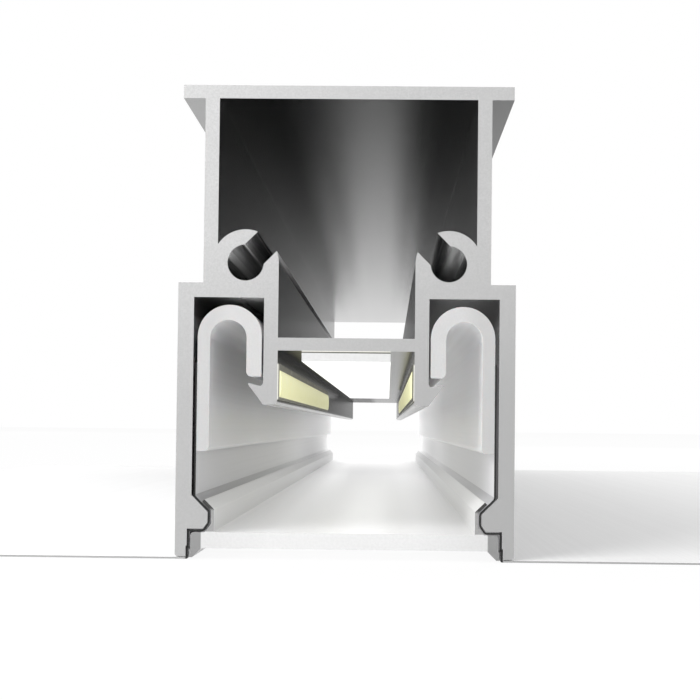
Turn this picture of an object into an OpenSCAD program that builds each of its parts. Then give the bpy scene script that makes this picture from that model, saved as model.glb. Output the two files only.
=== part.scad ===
// Light-line profile for a stretch ceiling: an extruded aluminium section with two
// harpoons, two stretched films, a snap-in opal diffuser and three LED strips.
// It stands on its lower edge. Y runs along the profile, the photographed end is at -Y,
// and the origin lies under its middle, on the plane that the films rest on.

/* [Profile] */
// Length of the extrusion, the harpoons, the films and the diffuser
length = 300; // [200:10:1000]
// Width over the two outer walls
outer_w = 38; // [37:0.2:42]
// Height from the feet to the shoulders
body_h = 30.8; // [30:0.1:33]
// Height of the upper box above the shoulders
box_h = 22.4; // [16:0.2:30]
// Width of the upper box outside
box_w = 32.4; // [31.4:0.1:34]
// Thickness of the upper box's side walls
box_wall_t = 1.6; // [1.2:0.1:1.9]
// Width of the top plate
plate_w = 37.4; // [34.4:0.2:42]
// Thickness of the top plate
plate_t = 1.5; // [1:0.1:2.5]
// Thickness of the shoulders
shoulder_t = 1.65; // [1.2:0.05:2.2]
// Thickness of the outer walls
side_wall_t = 1.8; // [1.5:0.05:2.2]
// Clear width between the two inner walls
channel_w = 15.4; // [13:0.1:16]
// Thickness of the inner walls
inner_wall_t = 1.6; // [1.2:0.05:2]
// Height of the inner walls below the shoulders
inner_wall_h = 12.05; // [11:0.05:14]
// Depth of the web's upper face below the shoulders
web_drop = 4.5; // [1:0.1:5.5]
// Thickness of the web between the inner walls
web_t = 1.45; // [1:0.05:2]

/* [Screw ports] */
// Bore of each screw port
port_d = 4.1; // [3.6:0.05:4.4]
// Wall of each screw port
port_wall_t = 1.7; // [1.3:0.05:1.9]
// Width of the slot that opens each port
port_slot_w = 3.1; // [2.2:0.05:3.3]
// Direction of the slot above the horizontal, towards the middle
port_slot_angle = 45; // [30:1:60]
// Height of the bore's lowest point above the shoulders
port_rise = 0.25; // [0:0.05:1]

/* [Barbs] */
// Reach of each barb out of the inner wall
barb_reach = 1.85; // [1.2:0.05:2.2]
// Height of the barb's tip above the end of the inner wall
barb_h = 2.45; // [2:0.05:3]
// Depth of the notch behind the barb's tip
barb_notch = 0.45; // [0.2:0.05:0.8]

/* [Snap ribs] */
// Depth of the rib on each outer wall that the diffuser snaps over
snap_depth = 1.85; // [1.4:0.05:2.1]
// Slope of the rib's upper face
snap_slope = 45; // [38:1:52]
// Height of the rib's flat nose
snap_nose_h = 1.2; // [0.8:0.05:2]
// Height of the nose's lower edge above the feet
snap_nose_z = 3.8; // [3.4:0.05:4.6]
// Inward set of the rib's lower bevel
snap_under_w = 0.5; // [0.3:0.05:0.8]
// Height of the rib's lower bevel
snap_under_h = 0.7; // [0.4:0.05:1]
// Thickness of each foot below the rib
foot_t = 1.35; // [1.1:0.05:1.45]
// Depth of the relief inside each foot
relief_d = 0.12; // [0.05:0.01:0.2]
// Height of the relief inside each foot
relief_h = 1.2; // [0.8:0.05:1.6]

/* [Harpoons] */
// Thickness of the long leg, which carries the film
long_leg_t = 1.4; // [1.1:0.05:1.6]
// Thickness of the bend and the short leg
short_leg_t = 1.7; // [1.4:0.05:1.9]
// Gap between the short leg and the inner wall
hook_side_gap = 0.22; // [0.1:0.01:0.4]
// Gap between the bend and the shoulder above it
hook_top_gap = 0.85; // [0.4:0.05:1.4]
// Gap between the short leg's end and the level of the barb's tip
hook_latch_gap = 0.7; // [0.3:0.05:1.2]
// Gap between the long leg's end and the snap rib's upper bend
long_leg_gap = 4.95; // [2:0.05:6]
// Radius on the inner corner of each leg's end
leg_corner_r = 0.55; // [0.3:0.05:0.65]

/* [Films] */
// Thickness of the stretched film
film_t = 0.2; // [0.15:0.01:0.3]
// Gap between the film and the aluminium that it passes
film_gap = 0.08; // [0.05:0.01:0.15]
// Gap between the film on the harpoon and the outer wall
weld_gap = 0.27; // [0.15:0.01:0.4]
// Height of the band in which the film is welded to the harpoon
weld_h = 10; // [4:0.5:11]
// Reach of each film out of the profile's side
film_reach = 96; // [20:1:150]

/* [Diffuser] */
// Thickness of the opal plate
diffuser_t = 1.78; // [1.2:0.02:2.2]
// Gap between the diffuser and the film
slide_gap = 0.1; // [0.06:0.01:0.16]
// Thickness of the two clips
clip_t = 0.34; // [0.25:0.01:0.6]
// Reach of each clip's sloping lip over the snap rib
clip_lip = 1; // [0.6:0.05:1.3]
// Width of the rim under each edge of the plate
rim_w = 1.4; // [1.1:0.05:2]
// Width of the bevel inside the rim
rim_bevel_w = 1.05; // [0.5:0.05:1.05]
// Reach of the rim below the aluminium feet
rim_drop = 0.1; // [0:0.01:0.15]
// Radius on the rim's upper outer corner
rim_corner_r = 0.4; // [0.1:0.05:0.6]

/* [LED strip under the web] */
// Length of the strip under the web
web_strip_len = 180; // [60:10:200]
// Width of the strip under the web
web_strip_w = 10; // [8:0.5:12]
// Thickness of each strip's adhesive tape
tape_t = 0.1; // [0.05:0.01:0.15]
// Thickness of each strip's flexible board
board_t = 0.15; // [0.1:0.01:0.25]
// Thickness of the silicone over the strip's lamps
silicone_t = 0.95; // [0.8:0.05:2]
// Pitch of the lamps along the strip
lamp_pitch = 8.3; // [7.5:0.1:16]
// Length of a lamp along the strip
lamp_l = 2.8; // [2:0.1:3.2]
// Width of a lamp across the strip
lamp_w = 3.5; // [2.5:0.1:5]
// Height of a lamp
lamp_h = 0.65; // [0.4:0.05:0.7]
// Length of a resistor across the strip
resistor_l = 3.1; // [2:0.1:3.2]
// Width of a resistor along the strip
resistor_w = 1.6; // [0.8:0.1:2]
// Height of a resistor
resistor_h = 0.5; // [0.3:0.05:0.6]

/* [LED strips on the inner walls] */
// Length of the left strip
left_strip_len = 112; // [60:4:200]
// Length of the right strip
right_strip_len = 160; // [60:4:200]
// Width of each side strip's board
side_strip_w = 4; // [3.4:0.1:4.6]
// Height of each side strip above the end of the inner wall
side_strip_rise = 0.6; // [0.5:0.05:1]
// Width of the phosphor bead
bead_w = 3; // [2:0.1:3.2]
// Height of the phosphor bead's crown
bead_h = 0.2; // [0.1:0.01:0.5]
// Width of the board left bare above the bead
bead_border = 0.72; // [0.6:0.02:0.8]
// Spacing of the solder pads along a side strip
pad_pitch = 16; // [12:1:40]
// Length of a solder pad
pad_l = 2.4; // [1:0.1:3]
// Width of a solder pad
pad_w = 0.4; // [0.2:0.05:0.5]
// Height of a solder pad
pad_h = 0.04; // [0.02:0.01:0.08]

/* [Hidden] */
$fn = 64;

// The aluminium stands on the films: heights are measured from its feet
lift = film_t + film_gap;
near_y = -length / 2;
cut = 1;

// Inner faces and levels of the aluminium section
outer_x = outer_w / 2;
wall_x = outer_x - side_wall_t;
box_x = box_w / 2;
channel_x = channel_w / 2;
inner_face_x = channel_x + inner_wall_t;
chamber_z = body_h - shoulder_t;
inner_foot_z = chamber_z - inner_wall_h;
web_z = chamber_z - web_drop - web_t;
total_h = body_h + box_h;
port_r = port_d / 2;
port_boss_r = port_r + port_wall_t;
port_x = channel_x + port_boss_r;
port_z = body_h + port_rise + port_r;
barb_tip_z = inner_foot_z + barb_h;
notch_r = 0.4;
barb_tip_r = 0.1;
inner_foot_r = 0.5;
wall_corner_r = 0.3;
rib_r = 0.15;

// Snap rib, foot and relief, from the top of the chamber down and out under the foot
nose_x = wall_x - snap_depth;
nose_top_z = snap_nose_z + snap_nose_h;
bend_z = nose_top_z + snap_depth * tan(snap_slope);
ledge_z = snap_nose_z - snap_under_h;
foot_x = outer_x - foot_t;
snap_line = [
    [wall_x, chamber_z],
    [wall_x, bend_z],
    [nose_x, nose_top_z],
    [nose_x, snap_nose_z],
    [nose_x + snap_under_w, ledge_z],
    [foot_x, ledge_z],
    [foot_x, relief_h],
    [foot_x + relief_d, relief_h],
    [foot_x + relief_d, 0],
    [outer_x, 0]
];

// Harpoon, between the inner wall and the film
hook_out_x = wall_x - weld_gap - film_t;
hook_in_x = inner_face_x + hook_side_gap;
hook_r = (hook_out_x - hook_in_x) / 2;
hook_x = hook_in_x + hook_r;
hook_z = chamber_z - hook_top_gap - hook_r;
eye_r = hook_r - (long_leg_t + short_leg_t) / 2;
eye_x = hook_in_x + short_leg_t + eye_r;
eye_z = hook_z + hook_r - short_leg_t - eye_r;
short_leg_z = barb_tip_z + hook_latch_gap;
long_leg_z = bend_z + long_leg_gap;

// Film and diffuser, both laid round the snap rib
clip_offset = film_gap + film_t + slide_gap;
plate_top_z = ledge_z - clip_offset;
plate_low_z = plate_top_z - diffuser_t;
clip_root_r = 0.2;

// Strips
strip_base = tape_t + board_t;
lamp_count = floor((web_strip_len - lamp_l) / lamp_pitch);
lamps_per_resistor = 3;
resistor_count = floor(lamp_count / lamps_per_resistor);
end_pad_l = 2;
end_pad_w = 2.2;
end_pad_margin = 0.6;
end_pad_h = 0.05;
side_strip_z = inner_foot_z + side_strip_rise;

// Unit normal on the right-hand side of the way from p to q
function side_normal(p, q) = [q[1] - p[1], p[0] - q[0]] / norm(q - p);

// Corner i of a line moved sideways by d, with mitred corners
function moved_corner(line, i, d) =
    let (last = len(line) - 1)
    let (before = side_normal(line[max(i - 1, 0)], line[max(i, 1)]))
    let (after = side_normal(line[min(i, last - 1)], line[min(i + 1, last)]))
    line[i] + d * (before + after) / (1 + before * after);

// The whole line moved sideways by d
function moved_line(line, d) = [for (i = [0:len(line) - 1]) moved_corner(line, i, d)];

// Points of the arc that rounds corner q between p and r with radius radius
function round_corner(p, q, r, radius, steps = 6) =
    let (u = (p - q) / norm(p - q))
    let (v = (r - q) / norm(r - q))
    let (half = acos(u * v) / 2)
    let (centre = q + (u + v) / norm(u + v) * radius / sin(half))
    let (from = q + u * radius / tan(half) - centre)
    let (to = q + v * radius / tan(half) - centre)
    let (turn = acos(from * to / radius / radius))
    [for (k = [0:steps])
        centre + from * sin(turn * (1 - k / steps)) / sin(turn) + to * sin(turn * k / steps) / sin(turn)];

// Outline with the corners rounded whose radius isn't 0
function rounded(points, radii) =
    let (n = len(points))
    [for (i = [0:n - 1])
        each radii[i] == 0 ? [points[i]]
            : round_corner(points[(i + n - 1) % n], points[i], points[(i + 1) % n], radii[i])];

// Point at x on the sloping stretch of a line moved from snap_line
function on_slope(line, x) = [x, line[2][1] + (x - line[2][0]) * tan(snap_slope)];

// Places a section, drawn in X and Z, along the profile from y0 to y1
module run(y0 = near_y, y1 = -near_y) {
    translate([0, y1, lift]) rotate([90, 0, 0]) linear_extrude(y1 - y0) children();
}

// Draws half of a section and its mirror image
module both_sides() {
    children();
    mirror([1, 0]) children();
}

// Closed outline of a section from the points of its right half
function both_halves(points) =
    concat(points, [for (i = [len(points) - 1:-1:0]) [-points[i][0], points[i][1]]]);

// Outer wall with its snap rib and foot
module outer_wall_section() {
    below_chamber = [for (i = [1:len(snap_line) - 1]) snap_line[i]];
    points = concat([[wall_x, body_h]], below_chamber, [[outer_x, body_h]]);
    polygon(rounded(points, [0, wall_corner_r, rib_r, rib_r, 0, 0, 0, 0, 0, wall_corner_r, 0]));
}

// Inner wall with the barb at its lower end
module inner_wall_section() {
    tip = [inner_face_x + barb_reach, barb_tip_z];
    points = [
        [channel_x, body_h],
        [inner_face_x, body_h],
        [inner_face_x, barb_tip_z - barb_notch],
        tip,
        [inner_face_x, inner_foot_z],
        [channel_x, inner_foot_z]
    ];
    polygon(rounded(points, [0, 0, notch_r, barb_tip_r, 0, inner_foot_r]));
}

// Shoulder, screw boss and the metal under it, before the bore and its slot
module shoulder_section() {
    translate([channel_x, chamber_z]) square([outer_x - channel_x, shoulder_t]);
    translate([port_x, port_z]) circle(port_boss_r);
    translate([channel_x, chamber_z]) square([port_boss_r, port_z - chamber_z]);
    translate([port_x, chamber_z]) square([box_x - port_x, port_z - port_boss_r / 2 - chamber_z]);
}

// Side wall of the upper box, from the shoulder into the top plate
module box_wall_section() {
    translate([box_x - box_wall_t, chamber_z]) square([box_wall_t, total_h - chamber_z]);
}

// Plate centred on the middle plane, with its underside at z
module level_plate(width, thickness, z) {
    translate([-width / 2, z]) square([width, thickness]);
}

// Bore of one screw port and the slot that opens it
module port_cutter() {
    translate([port_x, 0, port_z + lift]) {
        rotate([90, 0, 0]) cylinder(h = length + 2 * cut, r = port_r, center = true);
        rotate([0, port_slot_angle - 180, 0])
            translate([0, near_y - cut, -port_slot_w / 2])
            cube([2 * port_boss_r, length + 2 * cut, port_slot_w]);
    }
}

module aluminium_profile() {
    color([0.78, 0.78, 0.79]) difference() {
        union() {
            run() level_plate(plate_w, plate_t, total_h - plate_t);
            run() level_plate(channel_w + inner_wall_t, web_t, web_z);
            run() both_sides() outer_wall_section();
            run() both_sides() inner_wall_section();
            run() both_sides() shoulder_section();
            run() both_sides() box_wall_section();
        }
        port_cutter();
        mirror([1, 0, 0]) port_cutter();
    }
}

// Opal plate with a rim under each edge and a clip over each snap rib
module diffuser_section() {
    face = moved_line(snap_line, clip_offset);
    back = moved_line(snap_line, clip_offset + clip_t);
    tip = on_slope(face, face[2][0] + clip_lip);
    tip_back = tip + clip_t * [-sin(snap_slope), cos(snap_slope)];
    rim_z = -rim_drop;
    points = [
        [back[2][0], plate_top_z],
        back[2],
        tip_back,
        tip,
        face[2],
        face[3],
        face[4],
        face[5],
        face[6],
        face[7],
        [face[8][0], rim_z],
        [face[8][0] - rim_w + rim_bevel_w, rim_z],
        [face[8][0] - rim_w, plate_low_z]
    ];
    radii = [clip_root_r, 0, clip_t / 4, clip_t / 4, 0, 0, 0, rim_corner_r, 0, 0, 0, 0, 0];
    polygon(rounded(both_halves(points), concat(radii, [for (i = [len(radii) - 1:-1:0]) radii[i]])));
}

module diffuser() {
    color([0.95, 0.95, 0.93]) run() diffuser_section();
}

// Hook with a long leg that carries the film and a short leg that catches on the barb
module harpoon_section() {
    difference() {
        union() {
            translate([hook_x, hook_z]) circle(hook_r);
            polygon(rounded([
                [hook_x, hook_z],
                [hook_in_x, hook_z],
                [hook_in_x, short_leg_z],
                [hook_in_x + short_leg_t, short_leg_z],
                [hook_in_x + short_leg_t, hook_z]
            ], [0, 0, leg_corner_r / 3, leg_corner_r, 0]));
            polygon(rounded([
                [hook_x, hook_z],
                [hook_out_x - long_leg_t, hook_z],
                [hook_out_x - long_leg_t, long_leg_z],
                [hook_out_x, long_leg_z],
                [hook_out_x, hook_z]
            ], [0, 0, leg_corner_r, 0, 0]));
        }
        translate([eye_x, eye_z]) circle(eye_r);
        translate([eye_x - eye_r, hook_z - hook_r - cut])
            square([2 * eye_r, eye_z - hook_z + hook_r + cut]);
    }
}

module harpoon(side) {
    color([0.93, 0.93, 0.92]) mirror([side < 0 ? 1 : 0, 0, 0]) run() harpoon_section();
}

// Film: welded to the harpoon, round the snap rib, under the foot and out to the side
module film_section() {
    outside = moved_line(snap_line, film_gap);
    inside = moved_line(snap_line, film_gap + film_t);
    last = len(snap_line) - 2;
    weld_top_z = long_leg_z + weld_h;
    end_x = outer_x + film_reach;
    points = concat(
        [[hook_out_x + film_t, weld_top_z], on_slope(outside, hook_out_x + film_t)],
        [for (i = [2:last]) outside[i]],
        [[end_x, outside[last][1]], [end_x, inside[last][1]]],
        [for (i = [last:-1:2]) inside[i]],
        [on_slope(inside, hook_out_x), [hook_out_x, weld_top_z]]
    );
    polygon(points);
}

module film(side) {
    color([0.96, 0.96, 0.95]) mirror([side < 0 ? 1 : 0, 0, 0]) run() film_section();
}

// One flat layer of the strip under the web: its top lies depth below the web
module web_layer(depth, thickness) {
    translate([-web_strip_w / 2, near_y, web_z + lift - depth - thickness])
        cube([web_strip_w, web_strip_len, thickness]);
}

// Places its children under every lamp's centre
module each_lamp() {
    for (i = [0:lamp_count - 1])
        translate([0, near_y + (i + 0.5) * lamp_pitch + lamp_l / 2, web_z + lift - strip_base])
            children();
}

// Places its children between the last two lamps of every group
module each_resistor() {
    for (i = [0:resistor_count - 1])
        translate([
            0,
            near_y + (i + 1) * lamps_per_resistor * lamp_pitch - lamp_pitch + lamp_l / 2,
            web_z + lift - strip_base
        ]) children();
}

// One lamp, hanging from the board, with a cut corner that marks its polarity
module lamp() {
    mark = 0.5;
    translate([0, 0, -lamp_h]) linear_extrude(lamp_h) polygon([
        [-lamp_w / 2, -lamp_l / 2],
        [lamp_w / 2, -lamp_l / 2],
        [lamp_w / 2, lamp_l / 2 - mark],
        [lamp_w / 2 - mark, lamp_l / 2],
        [-lamp_w / 2, lamp_l / 2]
    ]);
}

module resistor() {
    translate([-resistor_l / 2, -resistor_w / 2, -resistor_h])
        cube([resistor_l, resistor_w, resistor_h]);
}

// Two solder pads at the far end of the strip under the web
module web_pads() {
    for (side = [-1, 1])
        translate([
            side * (web_strip_w / 2 - end_pad_margin - end_pad_w / 2) - end_pad_w / 2,
            near_y + web_strip_len - end_pad_margin - end_pad_l,
            web_z + lift - strip_base - end_pad_h
        ]) cube([end_pad_w, end_pad_l, end_pad_h]);
}

module web_strip_tape() {
    color([0.92, 0.91, 0.86]) web_layer(0, tape_t);
}

module web_strip_board() {
    color([0.96, 0.96, 0.96]) web_layer(tape_t, board_t);
}

module web_strip_lamps() {
    color([0.93, 0.86, 0.5]) each_lamp() lamp();
}

module web_strip_resistors() {
    color([0.15, 0.15, 0.16]) each_resistor() resistor();
}

module web_strip_pads() {
    color([0.8, 0.55, 0.35]) web_pads();
}

module web_strip_silicone() {
    color([0.97, 0.97, 0.96]) difference() {
        web_layer(strip_base, silicone_t);
        each_lamp() lamp();
        each_resistor() resistor();
        web_pads();
    }
}

// Places the section of a strip on an inner wall: x = 0 is the wall's face
module on_wall(side, strip_len) {
    mirror([side < 0 ? 1 : 0, 0, 0]) run(near_y, near_y + strip_len)
        translate([channel_x, side_strip_z]) children();
}

module side_tape(side, strip_len) {
    color([0.92, 0.91, 0.86]) on_wall(side, strip_len)
        translate([-tape_t, 0]) square([tape_t, side_strip_w]);
}

module side_board(side, strip_len) {
    color([0.9, 0.89, 0.8]) on_wall(side, strip_len)
        translate([-strip_base, 0]) square([board_t, side_strip_w]);
}

// Bead of phosphor with a crowned face
module side_phosphor(side, strip_len) {
    bead_z = side_strip_w - bead_border - bead_w / 2;
    steps = 12;
    crown = [for (k = [0:steps])
        [-strip_base - bead_h * sin(180 * k / steps), bead_z - bead_w / 2 * cos(180 * k / steps)]];
    color([0.96, 0.95, 0.72]) on_wall(side, strip_len) polygon(crown);
}

// Solder pads on the bare border, in pairs that meet at each cutting line
module side_pads(side, strip_len) {
    pad_count = floor(strip_len / pad_pitch) - 1;
    color([0.8, 0.55, 0.35]) mirror([side < 0 ? 1 : 0, 0, 0])
        for (i = [1:pad_count])
            translate([
                channel_x - strip_base - pad_h,
                near_y + i * pad_pitch - pad_l / 2,
                side_strip_z + lift + side_strip_w - (bead_border + pad_w) / 2
            ]) cube([pad_h, pad_l, pad_w]);
}

aluminium_profile();
diffuser();
harpoon(-1);  // harpoon_left
harpoon(1);  // harpoon_right
film(-1);  // film_left
film(1);  // film_right
web_strip_tape();
web_strip_board();
web_strip_lamps();
web_strip_resistors();
web_strip_pads();
web_strip_silicone();
side_tape(-1, left_strip_len);  // left_strip_tape
side_board(-1, left_strip_len);  // left_strip_board
side_phosphor(-1, left_strip_len);  // left_strip_phosphor
side_pads(-1, left_strip_len);  // left_strip_pads
side_tape(1, right_strip_len);  // right_strip_tape
side_board(1, right_strip_len);  // right_strip_board
side_phosphor(1, right_strip_len);  // right_strip_phosphor
side_pads(1, right_strip_len);  // right_strip_pads
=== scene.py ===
import math

import bmesh
import bpy
from mathutils import Matrix, Vector


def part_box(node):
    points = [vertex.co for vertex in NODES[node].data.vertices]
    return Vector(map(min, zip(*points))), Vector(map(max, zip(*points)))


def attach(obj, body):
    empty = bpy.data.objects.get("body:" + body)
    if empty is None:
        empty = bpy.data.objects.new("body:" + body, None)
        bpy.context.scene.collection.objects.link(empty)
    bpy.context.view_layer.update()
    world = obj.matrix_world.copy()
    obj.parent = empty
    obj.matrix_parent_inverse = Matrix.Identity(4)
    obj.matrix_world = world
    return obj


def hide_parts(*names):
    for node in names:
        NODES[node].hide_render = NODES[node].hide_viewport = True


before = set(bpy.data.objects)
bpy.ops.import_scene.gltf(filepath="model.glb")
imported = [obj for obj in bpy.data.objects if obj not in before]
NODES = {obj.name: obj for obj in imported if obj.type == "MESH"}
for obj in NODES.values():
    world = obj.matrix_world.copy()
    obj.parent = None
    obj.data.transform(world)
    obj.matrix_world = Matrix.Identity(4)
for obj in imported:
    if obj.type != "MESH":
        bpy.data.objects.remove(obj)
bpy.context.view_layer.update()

MM = 0.001
SCENE = bpy.context.scene


# Camera

CAMERA_PLACE = Vector((4.80, -289.07, 15.04)) * MM
CAMERA_YAW = math.radians(0.744)
CAMERA_PITCH = math.radians(1.431)
CAMERA_ROLL = math.radians(-0.616)
LENS = 63.74
SENSOR = 36
SHIFT_X = -0.0319
SHIFT_Y = 0.0651
CLIP_START = 10 * MM
CLIP_END = 50


def make_camera():
    """The photograph's camera, close in front of the cut end and low over the films."""
    ahead = Vector((
        -math.sin(CAMERA_YAW) * math.cos(CAMERA_PITCH),
        math.cos(CAMERA_YAW) * math.cos(CAMERA_PITCH),
        math.sin(CAMERA_PITCH),
    ))
    level = Vector((math.cos(CAMERA_YAW), math.sin(CAMERA_YAW), 0))
    above = level.cross(ahead)
    right = level * math.cos(CAMERA_ROLL) - above * math.sin(CAMERA_ROLL)
    up = level * math.sin(CAMERA_ROLL) + above * math.cos(CAMERA_ROLL)
    data = bpy.data.cameras.new("camera")
    data.lens = LENS
    data.sensor_width = SENSOR
    data.shift_x = SHIFT_X
    data.shift_y = SHIFT_Y
    data.clip_start = CLIP_START
    data.clip_end = CLIP_END
    camera = bpy.data.objects.new("camera", data)
    SCENE.collection.objects.link(camera)
    turn = Matrix((right, up, -ahead)).transposed().to_4x4()
    camera.matrix_world = Matrix.Translation(CAMERA_PLACE) @ turn
    SCENE.camera = camera


# Node trees

SOFT = 0.05 * MM  # the width over which one zone of a surface passes into the next


class Tree:
    """The node tree of a material or of the world, with short ways to fill it."""

    def __init__(self, owner):
        owner.use_nodes = True
        self.nodes = owner.node_tree.nodes
        self.links = owner.node_tree.links

    def feed(self, socket, value):
        """Gives a socket a value, or links it where the value is another node's socket."""
        if isinstance(value, bpy.types.NodeSocket):
            self.links.new(value, socket)
        else:
            socket.default_value = value

    def add(self, kind, inputs=(), **settings):
        """A new node, with its inputs given by name or by number."""
        made = self.nodes.new("ShaderNode" + kind)
        for name, value in settings.items():
            setattr(made, name, value)
        for key, value in dict(inputs).items():
            self.feed(made.inputs[key], value)
        return made

    def math(self, operation, *values):
        """The result of a sum on numbers or sockets."""
        return self.add("Math", enumerate(values), operation=operation).outputs[0]

    def product(self, first, *others):
        """Numbers or sockets multiplied with one another."""
        for other in others:
            first = self.math("MULTIPLY", first, other)
        return first

    def spread(self, value, low, high, onto_low=0.0, onto_high=1.0):
        """A range of a value laid onto another range, and held inside it."""
        return self.add("MapRange", {
            "Value": value,
            "From Min": low,
            "From Max": high,
            "To Min": onto_low,
            "To Max": onto_high,
        }).outputs["Result"]

    def pick(self, share, first, second):
        """The first number where share is 0 and the second where it is 1."""
        return self.spread(share, 0, 1, first, second)

    def opposite(self, share):
        """1 where share is 0, and 0 where it is 1."""
        return self.pick(share, 1, 0)

    def blend(self, share, first, second):
        """The first colour where share is 0 and the second where it is 1."""
        factor, first_colour, second_colour, colour = 0, 6, 7, 2
        made = self.add("Mix", {
            factor: share,
            first_colour: first,
            second_colour: second,
        }, data_type="RGBA")
        return made.outputs[colour]

    def place(self, axis):
        """Where a point lies on the object, in metres: across (X), along (Y) or up (Z)."""
        point = self.add("TexCoord").outputs["Object"]
        return self.add("SeparateXYZ", {"Vector": point}).outputs[axis]

    def off_middle(self):
        """How far a point lies from the profile's middle plane, to either side."""
        return self.math("ABSOLUTE", self.place("X"))

    def left_to_right(self, reach, at_left, at_right):
        """A number that changes over the middle, from that reach at the left to that at the right."""
        return self.spread(self.place("X"), -reach, reach, at_left, at_right)

    def between(self, value, low, high):
        """1 where a length lies between two others, 0 elsewhere."""
        return self.product(self.spread(value, low - SOFT, low), self.spread(value, high + SOFT, high))

    def noise(self, grain, longer=1, detail=2):
        """Noise fixed to the object: its grains are of that size, and longer along the profile."""
        point = self.add("Mapping", {
            "Vector": self.add("TexCoord").outputs["Object"],
            "Scale": (1 / grain, 1 / (grain * longer), 1 / grain),
        }).outputs["Vector"]
        return self.add("TexNoise", {"Vector": point, "Scale": 1.0, "Detail": detail}).outputs["Fac"]

    def contrast(self, noise, reach, onto_low=0.0, onto_high=1.0):
        """Noise laid onto a range, with its low and high at that reach from its middle of 0.5."""
        return self.spread(noise, 0.5 - reach, 0.5 + reach, onto_low, onto_high)

    def bump(self, height, distance, strength):
        """A surface normal from a height of 0 to 1 that stands for distance in metres."""
        return self.add("Bump", {
            "Height": height,
            "Distance": distance,
            "Strength": strength,
        }).outputs["Normal"]

    def facing_ends(self):
        """How far a surface faces one of the profile's two ends, from 0 to 1."""
        normal = self.add("TexCoord").outputs["Normal"]
        return self.math("ABSOLUTE", self.add("SeparateXYZ", {"Vector": normal}).outputs["Y"])

    def cut_end(self):
        """1 on the two sawn ends of the profile, 0 on every face that runs along it."""
        return self.spread(self.facing_ends(), 0.6, 0.9)


def grey(value):
    """A neutral colour."""
    return (value, value, value, 1)


def darker(colour, share):
    """A colour with that share of its light."""
    return [channel * share for channel in colour[:3]] + [1]


def new_surface(name):
    """A new material, its tree and its shader."""
    material = bpy.data.materials.new(name)
    tree = Tree(material)
    return material, tree, tree.nodes["Principled BSDF"]


def set_shader(tree, shader, **inputs):
    """Gives the shader's own sockets their values; an underscore in a name stands for a space."""
    for name, value in inputs.items():
        tree.feed(shader.inputs[name.replace("_", " ")], value)


def colour_of(shader):
    """The colour that a shader has so far, as a socket."""
    return shader.inputs["Base Color"].links[0].from_socket


# Places: the profile's two ends, and the section's across from the middle and up from the foot

NEAR_Y, FAR_Y = [corner[1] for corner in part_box("aluminium_profile")]
SKIN = 0.1 * MM  # how far a zone reaches from the face that it is meant for
FAR_OFF = 1.0  # past every point of the object
OUTER_X = 19 * MM
CHANNEL_X = 7.7 * MM
CHANNEL_TOP = 35 * MM
WEB_LOW = 23.48 * MM
CHAMBER_IN_X = 8.7 * MM
CHAMBER_OUT_X = 17.2 * MM
CHAMBER_TOP = 29.43 * MM
BOX_IN_X = 14.6 * MM
BOX_OUT_X = 16.2 * MM
BOX_FLOOR = 31.1 * MM
LIP_Z = 51.9 * MM
PORT_X = 11.45 * MM
PORT_Z = 33.38 * MM
PORT_R = 2.05 * MM
PORT_OUT_R = 3.75 * MM
RIB_LOW = 5.3 * MM
RIB_TOP = 7.2 * MM
RIM_W = 1.27 * MM
PLATE_TOP = 2.85 * MM
CLIP_BEND_Z = 5.4 * MM
CLIP_BEND_H = 0.3 * MM


# Aluminium

BURR_HIGHLIGHT_REACH = 0.2 * MM
SAWN_SHADE_Z = (36 * MM, 18 * MM)
LEFT_CORNER_X = (-14 * MM, -10 * MM)

# Greys of the drawn metal by zone, each at the left and at the right of the middle: painted shade in the
# strip channel, on the box walls and under the lips, and painted light in the chambers
PAINTED_ZONE_TONES = {
    "channel": (0.17, 0.17),
    "chamber": (0.85, 0.85),
    "box_wall": (0.36, 0.36),
    "lip": (0.38, 0.28),
}
# Painted shade on reflections: the share of its edge-on sheen that the metal keeps in each zone, at the
# left and at the right of the middle
PAINTED_ZONE_SHEENS = {
    "channel_wall": (0.55, 0.55),
    "web_face": (0.25, 0.85),
    "chamber": (0.6, 0.6),
    "box_wall": (0.75, 0.75),
    "lip": (0.9, 0.75),
}


def metal_zones(tree):
    """The zones of the section where the metal gets painted shade, painted light or a dimmed sheen, by
    name: 1 inside, 0 elsewhere.
    """
    across = tree.off_middle()
    up = tree.place("Z")
    from_bore = tree.math("SQRT", tree.math(
        "ADD",
        tree.math("POWER", tree.math("SUBTRACT", across, PORT_X), 2),
        tree.math("POWER", tree.math("SUBTRACT", up, PORT_Z), 2),
    ))

    def area(side, height):
        return tree.product(tree.between(across, *side), tree.between(up, *height))

    zones = {
        "channel_wall": area((CHANNEL_X - SKIN, CHANNEL_X), (0, CHANNEL_TOP)),
        "web_face": area((0, CHANNEL_X), (0, WEB_LOW + SKIN)),
        "chamber": area((CHAMBER_IN_X, CHAMBER_OUT_X), (0, CHAMBER_TOP)),
        "box_wall": area((BOX_IN_X, BOX_IN_X + SKIN), (BOX_FLOOR, LIP_Z)),
        "lip": area((BOX_OUT_X + SKIN, FAR_OFF), (LIP_Z, LIP_Z + SKIN)),
        "bore": tree.between(from_bore, 0, PORT_R + SOFT),
        "port_side": tree.product(
            tree.between(from_bore, PORT_OUT_R - SKIN, PORT_OUT_R),
            area((CHANNEL_X, PORT_X - PORT_R), (PORT_Z, LIP_Z)),
        ),
    }
    zones["channel"] = tree.math("MAXIMUM", zones["channel_wall"], zones["web_face"])
    return zones


def by_zone(tree, colour, zones, greys):
    """A colour, with the greys of some zones laid over it: painted shade and painted light."""
    right_side = tree.left_to_right(1 * MM, 0, 1)
    for zone, (left, right) in greys.items():
        colour = tree.blend(zones[zone], colour, tree.blend(right_side, grey(left), grey(right)))
    return colour


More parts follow.
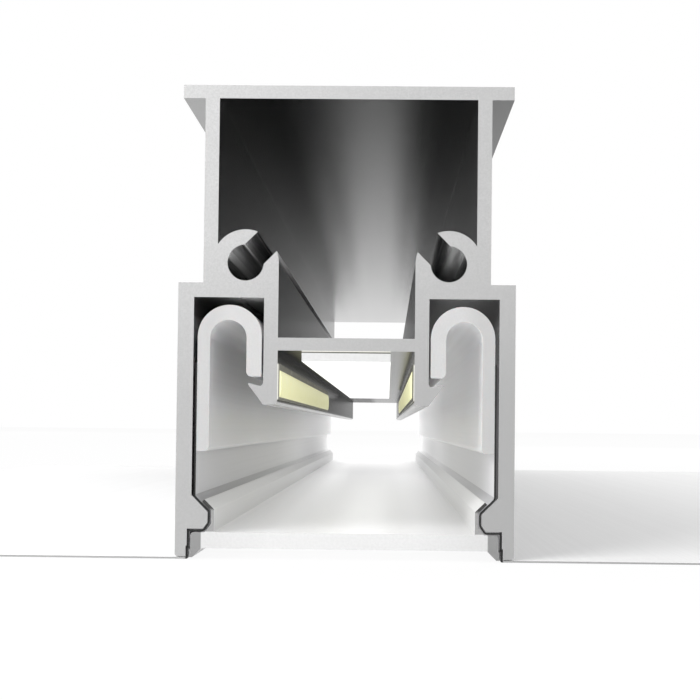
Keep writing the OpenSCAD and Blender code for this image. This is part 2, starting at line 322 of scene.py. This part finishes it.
def drawn_colour(tree, zones, lines):
    """Metal as it left the die: lines and bands along it, zone greys of painted shade and light, and
    paler streaks in the screw ports' bores as painted light.
    """
    bands = tree.noise(5 * MM, longer=200)
    streaks = tree.noise(0.9 * MM, longer=300)
    colour = tree.blend(tree.contrast(lines, 0.2), grey(0.52), grey(0.55))
    colour = tree.blend(tree.contrast(bands, 0.15, 0, 0.5), colour, grey(0.47))
    # painted shade and painted light, zone by zone
    colour = by_zone(tree, colour, zones, PAINTED_ZONE_TONES)
    # painted light: the bores are drawn far paler than the drawn metal
    bore_painted_light = tree.blend(tree.contrast(streaks, 0.1), grey(0.65), grey(0.95))
    return tree.blend(zones["bore"], colour, bore_painted_light)


def sawn_colour(tree, speckle):
    """The grain of the saw, shaded towards the foot and towards the right."""
    patches = tree.noise(1.4 * MM)
    colour = tree.blend(tree.contrast(speckle, 0.15), grey(0.48), grey(0.55))
    colour = tree.blend(tree.contrast(patches, 0.2, 0, 0.3), colour, grey(0.49))
    to_foot = tree.spread(tree.place("Z"), *SAWN_SHADE_Z, 0, 0.6)
    to_right = tree.left_to_right(OUTER_X, 0, 0.35)
    return tree.blend(tree.math("ADD", to_foot, to_right), colour, grey(0.40))


def painted_light_dulling(tree, zones):
    """How dull the metal is made at the screw ports' inner sides and in the left chamber's inner corner,
    so that these show lighter: painted light.
    """
    to_corner = tree.spread(tree.place("X"), *LEFT_CORNER_X, 0, 0.85)
    at_left = tree.left_to_right(1 * MM, 1, 0)
    return tree.math("MAXIMUM", zones["port_side"], tree.product(zones["chamber"], to_corner, at_left))


def burr_highlight(tree):
    """1 on the rounded edge between a sawn end and the faces along the profile, 0 elsewhere: where the
    pale painted highlight goes.
    """
    facing = tree.facing_ends()
    off_faces = tree.spread(facing, 0.1, 0.4)
    off_end = tree.spread(facing, 0.97, 0.85)
    highlight_y = FAR_Y - BURR_HIGHLIGHT_REACH
    at_end = tree.spread(tree.math("ABSOLUTE", tree.place("Y")), highlight_y, highlight_y + SOFT)
    return tree.product(off_faces, off_end, at_end)


def aluminium():
    """Mill-finish extrusion with fine lines along it, and sawn ends with a speckled grain."""
    material, tree, shader = new_surface("aluminium")
    end = tree.cut_end()
    edge = burr_highlight(tree)
    zones = metal_zones(tree)
    lines = tree.noise(0.6 * MM, longer=900)
    speckle = tree.noise(0.16 * MM)
    colour = tree.blend(end, drawn_colour(tree, zones, lines), sawn_colour(tree, speckle))
    # painted light: less metallic at the dull places, so that they catch more light
    metallic = tree.pick(end, tree.opposite(painted_light_dulling(tree, zones)), 0.55)
    set_shader(
        tree, shader,
        # painted highlight: the rounded edges of the sawn ends are pale and not metallic
        Base_Color=tree.blend(edge, colour, grey(0.9)),
        Metallic=tree.product(metallic, tree.opposite(edge)),
        Roughness=tree.pick(end, tree.contrast(lines, 0.2, 0.245, 0.265), 0.5),
        # painted shade: the edge-on reflection is dimmed zone by zone
        Specular_Tint=by_zone(tree, grey(1.0), zones, PAINTED_ZONE_SHEENS),
        Normal=tree.bump(tree.pick(end, lines, speckle), 0.002 * MM, 0.12),
    )
    return material


# Plastics

WEB_STRIP_PAINTED_GLOW = 0.75
DIFFUSER_PAINTED_GLOW = 0.33
DIFFUSER_FAR_PAINTED_GLOW = 0.56
# Where the painted glow inside the profile grows, and how far out it reaches
GLOW_RIGHT_X = (8 * MM, 12 * MM)
GLOW_LOW_Z = (27 * MM, 15 * MM)
GLOW_FAR_Y = (-50 * MM, FAR_Y)
GLOW_IN_X = CHAMBER_OUT_X + 0.2 * MM
LONG_LEG_X = (13 * MM, 15 * MM)
HARPOON_SHADE_Y = (-100 * MM, NEAR_Y)
FILM_SHADE_Y = (0, NEAR_Y)
FILM_PAST_CLIP = (0.35 * MM, 0.45 * MM)


def moulded_white(name, colour, roughness, grain_depth, grain_size, end_share=1.0):
    """White plastic, slightly uneven, with a duller and rougher sawn end."""
    material, tree, shader = new_surface(name)
    end = tree.cut_end()
    lines = tree.noise(0.4 * MM, longer=400, detail=3)
    fine = tree.noise(grain_size)
    moulded = tree.blend(tree.contrast(lines, 0.2), colour, darker(colour, 0.96))
    sawn_pale = darker(colour, end_share)
    sawn = tree.blend(tree.contrast(fine, 0.15), darker(sawn_pale, 0.95), sawn_pale)
    set_shader(
        tree, shader,
        Base_Color=tree.blend(end, moulded, sawn),
        Roughness=tree.pick(end, roughness, 0.6),
        Normal=tree.bump(fine, grain_depth, 0.6),
    )
    return material, tree, shader


def painted_inner_glow(tree, at_right, at_far):
    """Painted light: a glow on white plastic inside the profile, stronger at its far end and right side.
    """
    right = tree.product(
        tree.spread(tree.place("X"), *GLOW_RIGHT_X, 0, at_right),
        tree.spread(tree.place("Z"), *GLOW_LOW_Z, 1, 1.7),
    )
    far = tree.product(
        tree.spread(tree.place("Y"), *GLOW_FAR_Y, 0, at_far),
        tree.left_to_right(8 * MM, 1, 1.35),
    )
    inside = tree.between(tree.off_middle(), 0, GLOW_IN_X)
    return tree.product(inside, tree.opposite(tree.cut_end()), tree.math("ADD", right, far))


def harpoon_pvc():
    """White PVC with painted shade: darker on the long leg's sawn end, more so at the right, and darker
    along it next to the near end.
    """
    material, tree, shader = moulded_white(
        "harpoon_pvc", grey(0.85), roughness=0.38,
        grain_depth=0.01 * MM, grain_size=0.2 * MM, end_share=0.64,
    )
    in_shade = (0.40, 0.40, 0.42, 1)
    end = tree.cut_end()
    long_leg = tree.spread(tree.off_middle(), *LONG_LEG_X)
    shaded_long_leg_end = tree.product(end, long_leg, tree.left_to_right(10 * MM, 0.3, 0.5))
    to_near = tree.spread(tree.place("Y"), *HARPOON_SHADE_Y, 0, 0.35)
    near_side = tree.product(to_near, tree.opposite(end))
    colour = tree.blend(near_side, colour_of(shader), in_shade)
    set_shader(
        tree, shader,
        # painted shade on the long leg's sawn end and along the near end
        Base_Color=tree.blend(shaded_long_leg_end, colour, grey(0.4)),
        Subsurface_Weight=0.08,
        Subsurface_Scale=1.2 * MM,
        # painted light: a glow inside the profile
        Emission_Strength=painted_inner_glow(tree, 0.07, 0.14),
    )
    return material


def stretch_film():
    """Matt white film with painted shade inside the profile, and a cut edge painted nearly black as a
    shadow beside the clip.
    """
    material, tree, shader = moulded_white(
        "stretch_film", grey(0.86), roughness=0.5, grain_depth=0.004 * MM, grain_size=0.12 * MM,
    )
    in_shade, in_deep_shade = (0.50, 0.50, 0.53, 1), (0.22, 0.22, 0.24, 1)
    clip_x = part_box("diffuser")[1][0]
    outside = tree.spread(tree.off_middle(), *[clip_x + past for past in FILM_PAST_CLIP])
    # painted shadow: the cut edge is nearly black up to just past the clip, and grey further out
    edge = tree.blend(outside, grey(0.002), grey(0.35))
    to_near = tree.spread(tree.place("Y"), *FILM_SHADE_Y, 0, 0.6)
    # painted shade inside the profile, deeper towards the near end and at the right, and deepest at the
    # snap rib
    near = tree.product(to_near, tree.opposite(outside), tree.left_to_right(10 * MM, 1, 1.1))
    at_rib = tree.product(near, tree.between(tree.place("Z"), RIB_LOW, RIB_TOP))
    colour = tree.blend(near, colour_of(shader), in_shade)
    colour = tree.blend(at_rib, colour, in_deep_shade)
    set_shader(
        tree, shader,
        Base_Color=tree.blend(tree.cut_end(), colour, edge),
        # painted light: a glow inside the profile
        Emission_Strength=painted_inner_glow(tree, 0.06, 0.14),
    )
    return material


def opal_diffuser():
    """Opal plastic with faint lines along it, with painted light: a glow in its plate, stronger at the
    far end and towards the middle, and a faint glow on its clips, stronger at the right.
    """
    material, tree, shader = moulded_white(
        "opal_diffuser", grey(0.60), roughness=0.34, grain_depth=0.004 * MM, grain_size=0.3 * MM,
    )
    low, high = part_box("diffuser")
    rim_x = high[0] - RIM_W
    top_z = low[2] + PLATE_TOP
    end = tree.cut_end()
    off_middle = tree.off_middle()
    up = tree.place("Z")
    over_plate = tree.spread(up, top_z, top_z + SKIN)
    plate = tree.product(tree.spread(off_middle, rim_x, rim_x - SKIN), tree.opposite(over_plate))

    # painted shadow: the clips' sawn ends are nearly black above the bend, in the gap by the metal; below
    # it they and the rims' sawn ends are darker grey
    over_bend = tree.spread(up, CLIP_BEND_Z, CLIP_BEND_Z + CLIP_BEND_H)
    clip_end = tree.blend(over_bend, grey(0.30), grey(0.03))
    rim_end = grey(0.25)
    beside_plate = tree.product(end, tree.opposite(plate))
    beside_colour = tree.blend(over_plate, rim_end, clip_end)

    # painted light: the plate glows, more towards the far end and the middle, less on its sawn end
    along_glow = tree.spread(tree.place("Y"), low[1], high[1], DIFFUSER_PAINTED_GLOW, DIFFUSER_FAR_PAINTED_GLOW)
    across_glow = tree.spread(off_middle, rim_x, 8 * MM, 0.35, 1)
    plate_glow = tree.product(along_glow, tree.pick(end, 1, 0.42), across_glow, plate)
    # painted light: a faint glow on the clips' faces, stronger at the right
    clip_side = tree.product(over_plate, tree.opposite(end))
    clip_glow = tree.product(clip_side, tree.left_to_right(10 * MM, 0.07, 0.13))
    set_shader(
        tree, shader,
        Base_Color=tree.blend(beside_plate, colour_of(shader), beside_colour),
        Emission_Color=grey(1.0),
        Emission_Strength=tree.math("ADD", plate_glow, clip_glow),
    )
    return material


def adhesive_tape():
    """Thin milky tape."""
    milky = (0.74, 0.73, 0.66, 1)
    material, _, _ = moulded_white(
        "adhesive_tape", milky, roughness=0.6, grain_depth=0.006 * MM, grain_size=0.25 * MM,
    )
    return material


def white_silicone():
    """Milky silicone with a painted glow, which its sawn end lacks."""
    material, tree, shader = moulded_white(
        "white_silicone", grey(0.73), roughness=0.45,
        grain_depth=0.006 * MM, grain_size=0.4 * MM, end_share=0.88,
    )
    set_shader(
        tree, shader,
        Emission_Color=grey(1.0),
        # painted light: the silicone glows, except on its sawn end
        Emission_Strength=tree.pick(tree.cut_end(), WEB_STRIP_PAINTED_GLOW, 0),
    )
    return material


# Strips

SIDE_STRIP_PAINTED_GLOW = 0.36
SIDE_STRIP_FADE_Y = (-140 * MM, -80 * MM)


def white_board():
    """White lacquer on a flexible circuit board, drawn dark as painted shade and lighter on the left
    board as painted light, with the copper showing faintly through.
    """
    material, tree, shader = new_surface("white_board")
    fine = tree.noise(0.15 * MM)
    traces = tree.noise(1.2 * MM, longer=30, detail=1)
    # painted shade: the white board is drawn dark grey
    over_copper, lacquer = (0.11, 0.11, 0.095, 1), (0.14, 0.137, 0.12, 1)
    left_board_painted_light = (0.19, 0.187, 0.165, 1)
    colour = tree.blend(tree.contrast(traces, 0.05), over_copper, lacquer)
    # painted light: the left board is drawn lighter
    at_left = tree.spread(tree.place("X"), 0, -6 * MM)
    set_shader(
        tree, shader,
        Base_Color=tree.blend(at_left, colour, left_board_painted_light),
        Specular_IOR_Level=0.2,
        Roughness=tree.contrast(fine, 0.2, 0.6, 0.7),
        Normal=tree.bump(traces, 0.02 * MM, 0.5),
    )
    return material


def phosphor():
    """Yellow phosphor in silicone, with its grains, and a painted glow that is weaker further along and
    stronger at the right.
    """
    material, tree, shader = new_surface("phosphor")
    fine = tree.noise(0.12 * MM, detail=3)
    waves = tree.noise(1.1 * MM, longer=2)
    deep, pale, milky = (0.66, 0.65, 0.34, 1), (0.72, 0.71, 0.42, 1), (0.74, 0.73, 0.48, 1)
    colour = tree.blend(tree.contrast(fine, 0.15), deep, pale)
    colour = tree.blend(tree.contrast(waves, 0.2, 0, 0.4), colour, milky)
    # painted light: the phosphor glows, less further along and more at the right
    fading = tree.spread(tree.place("Y"), *SIDE_STRIP_FADE_Y, SIDE_STRIP_PAINTED_GLOW, 0.55 * SIDE_STRIP_PAINTED_GLOW)
    set_shader(
        tree, shader,
        Base_Color=colour,
        Emission_Color=colour,
        Emission_Strength=tree.product(fading, tree.left_to_right(5 * MM, 1, 1.3)),
        Roughness=tree.contrast(fine, 0.2, 0.4, 0.55),
        Normal=tree.bump(waves, 0.03 * MM, 0.5),
    )
    return material


def grainy(name, grain, dark, light, roughness, detail=2):
    """A surface whose colour and roughness vary from grain to grain, and its grains."""
    material, tree, shader = new_surface(name)
    fine = tree.noise(grain, detail=detail)
    set_shader(
        tree, shader,
        Base_Color=tree.blend(tree.contrast(fine, 0.2), dark, light),
        Roughness=tree.contrast(fine, 0.2, *roughness),
    )
    return material, tree, shader, fine


def lamp_body():
    """Pale yellow lens in a white frame."""
    deep, pale = (0.86, 0.74, 0.25, 1), (0.9, 0.8, 0.34, 1)
    material, _, _, _ = grainy("lamp_body", 0.1 * MM, deep, pale, roughness=(0.3, 0.4))
    return material


def resistor_body():
    """Black glaze on ceramic."""
    black, worn = grey(0.015), grey(0.03)
    material, _, _, _ = grainy("resistor_body", 0.1 * MM, black, worn, roughness=(0.25, 0.4))
    return material


def solder_pad():
    """Tinned copper."""
    dull, bright = (0.15, 0.14, 0.12, 1), (0.2, 0.18, 0.15, 1)
    material, tree, shader, fine = grainy(
        "solder_pad", 0.12 * MM, dull, bright, roughness=(0.4, 0.55), detail=3,
    )
    set_shader(tree, shader, Metallic=1.0, Normal=tree.bump(fine, 0.01 * MM, 0.6))
    return material


def paint(material, *names):
    """Puts a material on CAD nodes, whose meshes stay as they are."""
    for name in names:
        NODES[name].data.materials.clear()
        NODES[name].data.materials.append(material)


def paint_all():
    """Every CAD node in its material."""
    strips = ("web_strip", "left_strip", "right_strip")
    paint(aluminium(), "aluminium_profile")
    paint(opal_diffuser(), "diffuser")
    paint(harpoon_pvc(), "harpoon_left", "harpoon_right")
    paint(adhesive_tape(), *[strip + "_tape" for strip in strips])
    paint(white_board(), *[strip + "_board" for strip in strips])
    paint(solder_pad(), *[strip + "_pads" for strip in strips])
    paint(phosphor(), "left_strip_phosphor", "right_strip_phosphor")
    paint(white_silicone(), "web_strip_silicone")
    paint(lamp_body(), "web_strip_lamps")
    paint(resistor_body(), "web_strip_resistors")


# Edges

SAME_POINT = 0.001 * MM
SHARP = math.radians(40)
EDGE_SEGMENTS = 2
EDGE_WIDTHS = {
    "aluminium_profile": 0.11 * MM,
    "diffuser": 0.06 * MM,
    "harpoon_left": 0.08 * MM,
    "harpoon_right": 0.08 * MM,
}


def soften_edges(node, width):
    """A small bevel along the sharp edges of a CAD node, made by modifiers."""
    piece = NODES[node]
    weld = piece.modifiers.new("weld", "WELD")
    weld.merge_threshold = SAME_POINT
    bevel = piece.modifiers.new("bevel", "BEVEL")
    bevel.width = width
    bevel.segments = EDGE_SEGMENTS
    bevel.limit_method = "ANGLE"
    bevel.angle_limit = SHARP
    bevel.harden_normals = True
    bevel.use_clamp_overlap = True


# Films

FILM_T = 0.2 * MM
FILM_RING = 3 * MM
BEND_CUT = 0.045 * MM
BEND_STEPS = 6
BEND_SHARE = 0.45  # the most that a bend takes of the straight stretch on either side of it


def near_outline(node):
    """The points of a CAD node's near end, in order round it from its highest outer corner downwards."""
    shape = bmesh.new()
    shape.from_mesh(NODES[node].data)
    bmesh.ops.remove_doubles(shape, verts=shape.verts, dist=SAME_POINT)
    near = min(v.co.y for v in shape.verts) + SAME_POINT
    beside = {}
    for edge in shape.edges:
        ends = [face for face in edge.link_faces if all(v.co.y < near for v in face.verts)]
        if len(ends) == 1:
            first, second = edge.verts
            beside.setdefault(first, []).append(second)
            beside.setdefault(second, []).append(first)
    top = max(v.co.z for v in beside) - SAME_POINT
    walk = [max((v for v in beside if v.co.z > top), key=lambda v: abs(v.co.x))]
    walk.append(min(beside[walk[0]], key=lambda v: v.co.z))
    while len(walk) < len(beside):
        walk.append(next(v for v in beside[walk[-1]] if v != walk[-2]))
    points = [Vector((v.co.x, v.co.z)) for v in walk]
    shape.free()
    return points


def middle_line(outline):
    """The line halfway between the two sides of a strip's outline, from one end to the other."""
    half = len(outline) // 2
    return [(outline[i] + outline[-1 - i]) / 2 for i in range(half)]


def rounded_bends(line):
    """The line with every bend turned into an arc that cuts its corner by BEND_CUT."""
    points = [line[0]]
    for before, corner, after in zip(line, line[1:], line[2:]):
        back, ahead = before - corner, after - corner
        half = back.angle(ahead) / 2
        radius = BEND_CUT / (1 / math.sin(half) - 1)
        reach = min(radius / math.tan(half), BEND_SHARE * back.length, BEND_SHARE * ahead.length)
        start = corner + back.normalized() * reach
        end = corner + ahead.normalized() * reach
        for step in range(BEND_STEPS + 1):
            share = step / BEND_STEPS
            points.append(start * (1 - share) ** 2 + corner * 2 * share * (1 - share) + end * share ** 2)
    return points + [line[-1]]


def line_normals(line):
    """Unit normals of a line, at each of its points."""
    normals = []
    for i in range(len(line)):
        way = line[min(i + 1, len(line) - 1)] - line[max(i - 1, 0)]
        normals.append(Vector((-way.y, way.x)).normalized())
    return normals


def film_mesh(name, line, near_y, far_y):
    """A closed sheet of the film's thickness round a line of the section, from end to end."""
    normals = line_normals(line)
    section = [p + n * FILM_T / 2 for p, n in zip(line, normals)]
    section += [p - n * FILM_T / 2 for p, n in reversed(list(zip(line, normals)))]
    rings = round((far_y - near_y) / FILM_RING)
    shape = bmesh.new()
    loops = []
    for ring in range(rings + 1):
        y = near_y + (far_y - near_y) * ring / rings
        loops.append([shape.verts.new((p.x, y, p.y)) for p in section])
    count = len(section)
    for first, second in zip(loops, loops[1:]):
        for i in range(count):
            after = (i + 1) % count
            shape.faces.new((first[i], first[after], second[after], second[i]))
    for loop in (loops[0], loops[-1]):
        for i in range(len(line) - 1):
            shape.faces.new((loop[i], loop[i + 1], loop[-2 - i], loop[-1 - i]))
    bmesh.ops.recalc_face_normals(shape, faces=shape.faces)
    mesh = bpy.data.meshes.new(name)
    shape.to_mesh(mesh)
    shape.free()
    mesh.shade_smooth()
    mesh.set_sharp_from_angle(angle=SHARP)
    return mesh


def make_film(side, material):
    """The stretched film: one thin sheet from the harpoon round the snap rib and out over the ceiling."""
    node = "film_" + side
    line = rounded_bends(middle_line(near_outline(node)))
    low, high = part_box(node)
    mesh = film_mesh("stretched_film_" + side, line, low[1], high[1])
    mesh.materials.append(material)
    film = bpy.data.objects.new("stretched_film_" + side, mesh)
    SCENE.collection.objects.link(film)
    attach(film, "profile")
    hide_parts(node)


# Stage

WORLD_LEVEL = 0.7
FLOOR_HALF = 4
FLOOR_DROP = 0.02 * MM
FLOOR_SHADOW = 0.08


def seen_directly(tree):
    """1 for the rays of the camera, of metal and of glass, which see the backdrop as white."""
    rays = tree.add("LightPath").outputs
    seen = tree.math("MAXIMUM", rays["Is Camera Ray"], rays["Is Glossy Ray"])
    return tree.math("MAXIMUM", seen, rays["Is Transmission Ray"])


def make_world():
    """White to the camera and to reflections, and a plain grey light otherwise."""
    world = bpy.data.worlds.new("world")
    SCENE.world = world
    tree = Tree(world)
    background = tree.nodes["Background"]
    tree.feed(background.inputs["Color"], grey(1.0))
    tree.feed(background.inputs["Strength"], tree.pick(seen_directly(tree), WORLD_LEVEL, 1.0))


def make_floor():
    """A pale floor, white to the camera, that keeps part of the object's shadow."""
    mesh = bpy.data.meshes.new("floor")
    shape = bmesh.new()
    bmesh.ops.create_grid(shape, x_segments=1, y_segments=1, size=FLOOR_HALF)
    shape.to_mesh(mesh)
    shape.free()
    floor = bpy.data.objects.new("floor", mesh)
    floor.location.z = -FLOOR_DROP
    SCENE.collection.objects.link(floor)
    material, tree, shader = new_surface("floor")
    set_shader(tree, shader, Base_Color=grey(0.9), Roughness=1.0, Specular_IOR_Level=0.0)
    white = tree.add("Emission", {"Color": grey(1.0), "Strength": 1.0}).outputs[0]
    share = tree.product(seen_directly(tree), 1 - FLOOR_SHADOW)
    mixed = tree.add("MixShader", {0: share, 1: shader.outputs[0], 2: white}).outputs[0]
    tree.feed(tree.nodes["Material Output"].inputs["Surface"], mixed)
    mesh.materials.append(material)


# Lamps

def make_lamp(name, place, target, size, power, in_gloss=True):
    """A square area lamp at place, turned to target, which may be left out of reflections."""
    data = bpy.data.lights.new(name, "AREA")
    data.shape = "SQUARE"
    data.size = size
    data.energy = power
    lamp = bpy.data.objects.new(name, data)
    lamp.location = place
    lamp.rotation_mode = "QUATERNION"
    lamp.rotation_quaternion = (Vector(target) - Vector(place)).to_track_quat("-Z", "Y")
    lamp.visible_glossy = in_gloss
    SCENE.collection.objects.link(lamp)


def make_lamps():
    """A wide soft key from the left and behind, and three weak small lamps.

    Front lights the sawn end from the upper left, back the right film's far part,
    and low the inside of the profile from far in front.
    """
    make_lamp("key", place=(-1.0, 0.65, 0.65), target=(0, 0, 0.02), size=2.6, power=11.5)
    make_lamp("front", place=(-0.22, -0.34, 0.24), target=(0, -0.15, 0.04), size=0.2, power=0.92)
    make_lamp("back", place=(0.35, 0.55, 0.25), target=(0.07, 0.15, 0), size=0.3, power=1.0,
              in_gloss=False)
    make_lamp("low", place=(-0.10, -0.72, 0.08), target=(0, -0.15, 0.02), size=0.2, power=0.4,
              in_gloss=False)


make_camera()
make_world()
make_floor()
make_lamps()
paint_all()
for node, width in EDGE_WIDTHS.items():
    soften_edges(node, width)
film_finish = stretch_film()
make_film("left", film_finish)
make_film("right", film_finish)

SCENE.view_settings.view_transform = "Standard"
